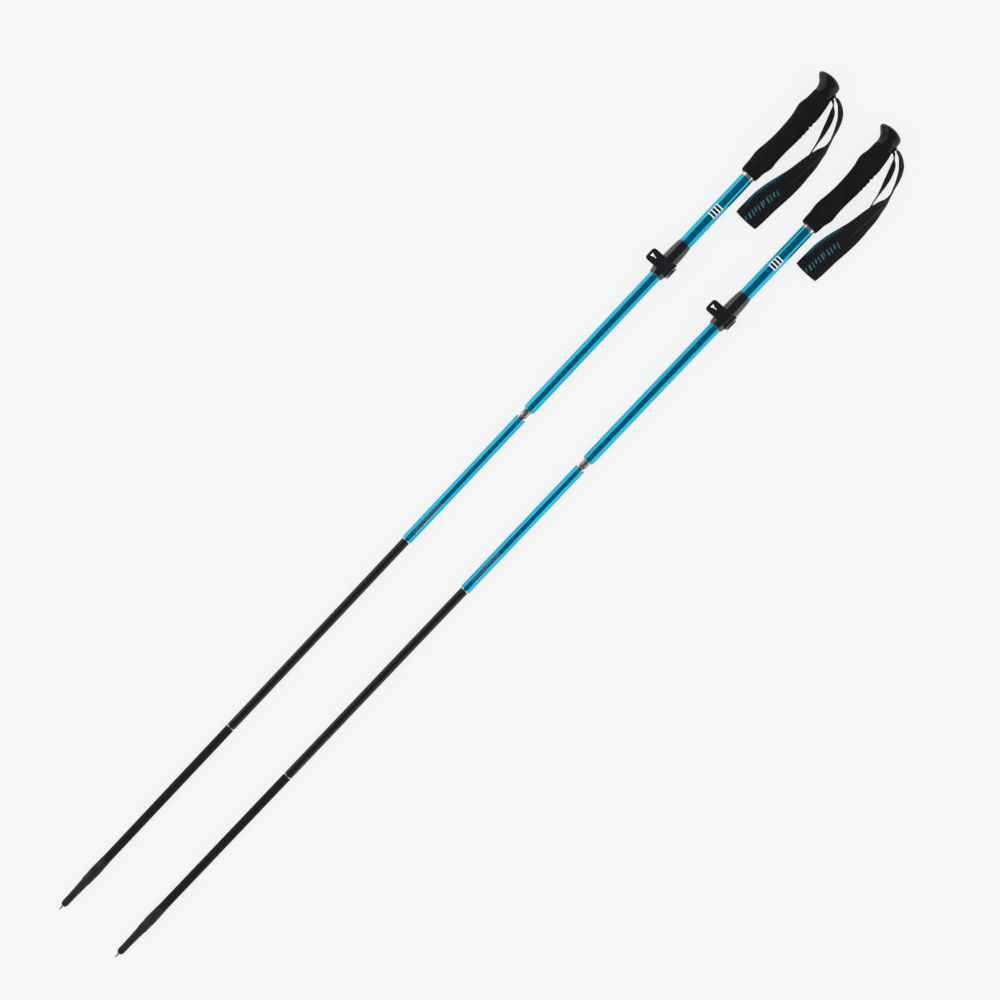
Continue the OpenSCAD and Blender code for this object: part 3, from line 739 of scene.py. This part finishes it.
def strap_stitches(side):
    """Two rows of stitches along each face of the band, inside its bound edges."""
    stitch, gap, r = 2.3, 1.0, 0.24
    stitch_height = BAND_T / 2 * 0.80 + BAND_CROWN * 0.6
    start = STRAP.length[BAND_FIRST + 14]
    stop = STRAP.length[BAND_LAST - 14]
    points, faces = [], []
    for across in (-0.8, 0.74):
        for face in (1, -1):
            for begin in np.arange(start, stop - stitch, stitch + gap):
                rings = []
                for at, swell in ((0, 0.4), (0.2, 1), (0.8, 1), (1, 0.4)):
                    middle = surface_point(begin + stitch * at, across, face * stitch_height)
                    k, _ = route_place(begin + stitch * at)
                    rings.append([middle + STRAP.across[k] * r * swell * math.cos(a)
                                  - STRAP.out[k] * r * swell * math.sin(a)
                                  for a in np.linspace(0, 2 * math.pi, 6, endpoint=False)])
                new_points, new_faces = loft(rings)
                faces += [tuple(i + len(points) for i in f) for f in new_faces]
                points += new_points
    piece = mesh_piece("strap_stitches", side, points, faces, PAINTS["thread"])
    finish_piece(piece, "strap", "strap_fabric")


def strap_print(side):
    """A generic row of slanted bars printed on the band, in teal."""
    first_bar, last_bar, step, slant = 1160.5, 1207, 4.6, 2.2
    drift_start, drift_run = 1208, 48
    rows = 6
    points, faces = [], []
    for n, station in enumerate(np.arange(first_bar, last_bar, step)):
        tall = 1.0 if n % 3 else 0.72
        width = 2.0 if n % 2 else 1.3
        k = STRAP.upper_sample(station)
        # Towards the turn the row drifts across the band, and its bars get shorter
        drift = (drift_start - station) / drift_run
        base = len(points)
        for level in (0, 1):
            for i in range(rows):
                share = i / (rows - 1)
                v = 0.17 + 0.10 * drift - (0.56 - 0.12 * drift) * tall * share
                for edge in (0, 1):
                    length = STRAP.length[k] + slant * share - edge * width
                    height = face_height(v, BAND_T, BAND_CROWN) + 0.02 + 0.1 * level
                    points.append(surface_point(length, v, height))
        top, low = base + 2 * rows, base
        for i in range(rows - 1):
            a = 2 * i
            faces.append((top + a, top + a + 2, top + a + 3, top + a + 1))
            faces.append((low + a, low + a + 1, low + a + 3, low + a + 2))
            faces.append((low + a, low + a + 2, top + a + 2, top + a))
            faces.append((low + a + 1, top + a + 1, top + a + 3, low + a + 3))
        end = 2 * rows - 2
        faces.append((low, top, top + 1, low + 1))
        faces.append((low + end, low + end + 1, top + end + 1, top + end))
    piece = mesh_piece("strap_bars", side, points, faces, PAINTS["teal_ink"])
    finish_piece(piece, "strap", "strap_fabric")


# ---- Printed marks ----


def tube_patch(start, stop, low, high, radius, thickness):
    """A thin closed patch on a tube, between two stations and two places across its top."""
    count = 11
    angles = np.linspace(math.asin(low / radius), math.asin(high / radius), count)
    points, faces = [], []
    for r in (radius + 0.015, radius + thickness):
        for station in (start, stop):
            points += [(station, r * math.sin(a), r * math.cos(a)) for a in angles]
    for i in range(count - 1):
        faces.append((2 * count + i, 2 * count + i + 1, 3 * count + i + 1, 3 * count + i))
        faces.append((i, count + i, count + i + 1, i + 1))
        faces.append((i, i + 1, 2 * count + i + 1, 2 * count + i))
        faces.append((count + i, 3 * count + i, 3 * count + i + 1, count + i + 1))
    faces.append((0, 2 * count, 3 * count, count))
    last = count - 1
    faces.append((last, count + last, 3 * count + last, 2 * count + last))
    return points, faces


def patches(name, side, places, radius, thickness, paint, body, slot):
    """One piece of several patches: (start, stop, low, high) each."""
    points, faces = [], []
    for place in places:
        new_points, new_faces = tube_patch(*place, radius, thickness)
        faces += [tuple(i + len(points) for i in f) for f in new_faces]
        points += new_points
    piece = mesh_piece(name, side, points, faces, PAINTS[paint], smooth=False)
    finish_piece(piece, body, slot)


# The scale's first white bar and the distance between bars
SCALE_START = 1132
SCALE_STEP = 4.7


def printed_marks(side):
    """Length marks on the upper tube, and dashes between thin lines on section 3, all plain."""
    bars = [SCALE_START + SCALE_STEP * n for n in range(4)]
    light = [(at - 0.6, at + 0.6, -4.9, 4.9) for at in bars]
    gaps = [at + SCALE_STEP / 2 for at in bars[:-1]]
    dark = [(at - 1.45, at + 1.45, -4.3, 4.3) for at in gaps]
    sides = [(bars[0], bars[-1], -5.3, -4.6), (bars[0], bars[-1], 4.6, 5.3)]
    patches("scale_sides", side, sides, UPPER_TUBE_R, 0.05, "pale_ink", "handle", "cyan_tube")
    patches("scale_white", side, light, UPPER_TUBE_R, 0.09, "white_ink", "handle", "cyan_tube")
    patches("scale_dark", side, dark, UPPER_TUBE_R, 0.07, "dark_ink", "handle", "cyan_tube")
    dark = [(at, at + 2.0, -1.9, 0.9) for at in np.arange(621, 663, 2.4)]
    light = [(at, at + 0.9, -0.5, -0.1) for at in np.arange(621.4, 663, 2.4)]
    rails = [(618.5, 664.5, -2.4, -2.25), (618.5, 664.5, 1.3, 1.45), (617.9, 618.1, -1.7, 0.8)]
    patches("dashes_dark", side, dark, SECTION_3_R, 0.05, "dark_ink", "section_3", "cyan_tube")
    patches("dashes_light", side, light + rails, SECTION_3_R, 0.08, "pale_ink", "section_3", "cyan_tube")


def mouth_rim(side):
    """The bare edge of the notch in section 3's mouth."""
    end, half, depth, width = 803.3, 4.6, 4.6, 0.75
    edges = [((end, -half), (end - depth, -0.5)), ((end - depth, -0.5), (end - depth, 0.5)),
             ((end - depth, 0.5), (end, half))]
    count = 9
    points, faces = [], []
    for (x0, y0), (x1, y1) in edges:
        first = len(points)
        run = Vector((x1 - x0, y1 - y0)).normalized()
        away = Vector((run.y, -run.x)) * width
        for r in (SECTION_3_R - 0.5, SECTION_3_R + 0.06):
            for shift in (0.0, 1.0):
                for i in range(count):
                    share = i / (count - 1)
                    x = x0 + (x1 - x0) * share + away.x * shift
                    y = y0 + (y1 - y0) * share + away.y * shift
                    x = min(x, end)
                    points.append((x, y, math.sqrt(max(0.0, r * r - y * y))))
        for i in range(count - 1):
            a, b, c, d = (first + k * count + i for k in range(4))
            faces.append((c, c + 1, d + 1, d))
            faces.append((a, b, b + 1, a + 1))
            faces.append((a, a + 1, c + 1, c))
            faces.append((b, d, d + 1, b + 1))
        last = first + count - 1
        faces.append((first, first + 2 * count, first + 3 * count, first + count))
        faces.append((last, last + count, last + 3 * count, last + 2 * count))
    piece = mesh_piece("mouth_rim", side, points, faces, PAINTS["bright_aluminium"], smooth=False)
    finish_piece(piece, "section_3", "bright_aluminium")


def lever_mark(side):
    """A small white arrowhead and bar printed on the lever's tab."""
    tail, tip, half = 20.4, 15.2, 2.3
    bar_end, bar_half = 13.4, 0.5
    # The tab's upper face: its height at one place across, and its slope
    face_y, face_z, slope = 15.4, 8.03, -0.325
    arrow = [(-half, tail), (0, tip), (half, tail)]
    bar = [(-bar_half, tip), (-bar_half, bar_end), (bar_half, bar_end), (bar_half, tip)]
    points, faces = [], []
    for outline in (arrow, bar):
        first, count = len(points), len(outline)
        for lift in (-0.25, 0.1):
            points += [(LEVER_STATION + x, y, face_z + slope * (y - face_y) + lift) for x, y in outline]
        faces.append(tuple(first + i for i in reversed(range(count))))
        faces.append(tuple(first + count + i for i in range(count)))
        faces += [(first + i, first + (i + 1) % count, first + count + (i + 1) % count, first + count + i)
                  for i in range(count)]
    piece = mesh_piece("lever_arrow", side, points, faces, PAINTS["white_ink"], smooth=False)
    finish_piece(piece, "lock_lever", "lock_black")


# ---- Leaf spring, and cords of the folding joints ----

CORD_R = 0.95
BEND_STRETCH = 0.8
BEND_RINGS = 41
# The last rings of a cord, past the end of its bend
CORD_END = (3, 7)


# The snap button's leaf: distance from the button's axis towards the grip, height of its top
LEAF_LINE = [(-2, 3.88), (0, 3.88), (2, 3.88), (2.2, 3.86), (2.6, 3.75), (2.9, 3.7), (3.4, 3.62), (4, 3.5),
             (4.8, 3.35), (5.5, 3.22), (6.5, 3.16), (7.5, 3.3), (8.5, 3.66), (9, 3.74), (12, 3.74)]
LEAF_T = 0.15
LEAF_HALF_WIDTH = 0.5
BUTTON_STATION = 812.2


def leaf_spring(side):
    """The leaf under the snap button, in place of the CAD spring."""
    rings = []
    for x, top in LEAF_LINE:
        corners = ((-1, top - LEAF_T), (1, top - LEAF_T), (1, top), (-1, top))
        rings.append([(BUTTON_STATION + x, LEAF_HALF_WIDTH * y, z) for y, z in corners])
    piece = mesh_piece("button_leaf", side, *loft(rings), PAINTS["steel"], smooth=False)
    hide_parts(f"{side}_button_spring")
    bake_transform(piece)


def joint_cord(side, name):
    """The cord through a folding joint, in place of the CAD cord. Its rings crowd into a short stretch at the
    nose's tip.
    """
    fold = FOLDS[name]
    leave = fold["joint"] - fold["nose"]
    enter = leave - BEND_STRETCH
    stations = [fold["top"], (fold["top"] + leave) / 2, leave + 1]
    stations += list(np.linspace(leave, enter, BEND_RINGS))
    stations += [enter - past for past in CORD_END]
    points, faces = loft(turned_rings([(s, CORD_R) for s in stations], 12))
    piece = mesh_piece(f"{name}_cord", side, points, faces, PAINTS["cord"])
    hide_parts(f"{side}_{fold['cord']}")
    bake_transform(piece)


# ---- Scene ----


def make_world():
    """Studio all round: brightest at the horizon, and a little darker below it."""
    world = bpy.data.worlds.new("studio")
    world.use_nodes = True
    bpy.context.scene.world = world
    tree = world.node_tree
    place = tree.nodes.new("ShaderNodeTexCoord")
    split = tree.nodes.new("ShaderNodeSeparateXYZ")
    height = tree.nodes.new("ShaderNodeMapRange")
    ramp = tree.nodes.new("ShaderNodeValToRGB")
    height.inputs["From Min"].default_value = -1
    tree.links.new(place.outputs["Generated"], split.inputs["Vector"])
    tree.links.new(split.outputs["Z"], height.inputs["Value"])
    tree.links.new(height.outputs["Result"], ramp.inputs["Fac"])
    stops = [(0.0, (0.66, 0.66, 0.66)), (0.33, (0.84, 0.83, 0.82)), (0.42, (1.10, 1.09, 1.08)),
             (0.53, (1.14, 1.14, 1.14)), (0.72, (1.15, 1.15, 1.15)), (1.0, (1.10, 1.10, 1.10))]
    elements = ramp.color_ramp.elements
    while len(elements) < len(stops):
        elements.new(0.5)
    for element, (at, shade) in zip(elements, stops):
        element.position = at
        element.color = (*shade, 1)
    background = tree.nodes["Background"]
    tree.links.new(ramp.outputs["Color"], background.inputs["Color"])
    background.inputs["Strength"].default_value = 1.0


def make_lights():
    """Wide soft lights overhead, which light the matte surfaces and don't show in the gloss."""
    for name, place, size, power in (("key", (-0.9, 1.1, 2.2), 1.8, 18), ("fill", (1.2, -1.0, 2.4), 2.0, 12)):
        data = bpy.data.lights.new(name, "AREA")
        data.shape = "SQUARE"
        data.size = size
        data.energy = power
        light = bpy.data.objects.new(name, data)
        light.location = place
        light.rotation_euler = (-Vector(place)).to_track_quat("-Z", "Y").to_euler()
        light.visible_glossy = False
        light.visible_camera = False
        bpy.context.scene.collection.objects.link(light)


def stage_sheet(name, outline, height, paint):
    """A flat piece of the studio."""
    mesh = bpy.data.meshes.new(name)
    mesh.from_pydata([(x, y, 0) for x, y in outline], [], [tuple(range(len(outline)))])
    mesh.materials.append(paint.material)
    sheet = bpy.data.objects.new(name, mesh)
    sheet.location.z = height
    bpy.context.scene.collection.objects.link(sheet)
    return sheet


def make_floor():
    """A large pale disc that is lit almost evenly, so that only a faint shadow shows."""
    radius, segments = 30.0, 96
    angles = [2 * math.pi * i / segments for i in range(segments)]
    paint = Paint("floor", (0.07, 0.07, 0.07), 0.9, Specular_IOR_Level=0.0)
    paint.shader.inputs["Emission Color"].default_value = (1, 1, 1, 1)
    paint.shader.inputs["Emission Strength"].default_value = 0.825
    outline = [(radius * math.cos(a), radius * math.sin(a)) for a in angles]
    floor = stage_sheet("floor", outline, CAD_LOW.z - 0.0002, paint)
    floor.visible_glossy = False


def make_flag():
    """A dark flag over the poles, which their polished tops reflect.

    Its half width varies along X, so that each tube and the lock show as wide a dark band as they
    do in the photograph.
    """
    half_widths = [(-3.5, 4.5), (-0.95, 3.0), (-0.5, 2.6), (-0.2, 2.1), (0.56, 2.1),
                   (0.585, 4.6), (0.68, 4.6), (0.72, 3.0), (1.0, 3.0), (3.5, 5.0)]
    outline = [(x, -w) for x, w in half_widths] + [(x, w) for x, w in reversed(half_widths)]
    paint = Paint("flag", (0.0, 0.0, 0.0), 1.0, Specular_IOR_Level=0.0)
    paint.shader.inputs["Emission Color"].default_value = (0.115, 0.14, 0.162, 1)
    paint.shader.inputs["Emission Strength"].default_value = 1.0
    flag = stage_sheet("flag", outline, 2.0, paint)
    flag.visible_camera = False
    flag.visible_diffuse = False
    flag.visible_shadow = False
    flag.visible_transmission = False


def make_camera():
    """Looks straight down, turned so that the poles run from lower left to upper right."""
    data = bpy.data.cameras.new("camera")
    data.lens = 85
    data.sensor_width = 36
    camera = bpy.data.objects.new("camera", data)
    camera.location = (0.0377, 0.0125, 2.8168)
    camera.rotation_euler = (0, 0, math.radians(-46.584))
    bpy.context.scene.collection.objects.link(camera)
    bpy.context.scene.camera = camera


bpy.context.scene.view_settings.view_transform = "Standard"
make_camera()
make_world()
make_lights()
make_floor()
make_flag()
paint_cad_nodes()
for pole in SIDES:
    grip_foam(pole)
    grip_head(pole)
    strap_legs(pole)
    strap_band(pole)
    strap_trims(pole)
    strap_stitches(pole)
    strap_print(pole)
    printed_marks(pole)
    mouth_rim(pole)
    lever_mark(pole)
    leaf_spring(pole)
    for fold_name in FOLDS:
        joint_cord(pole, fold_name)
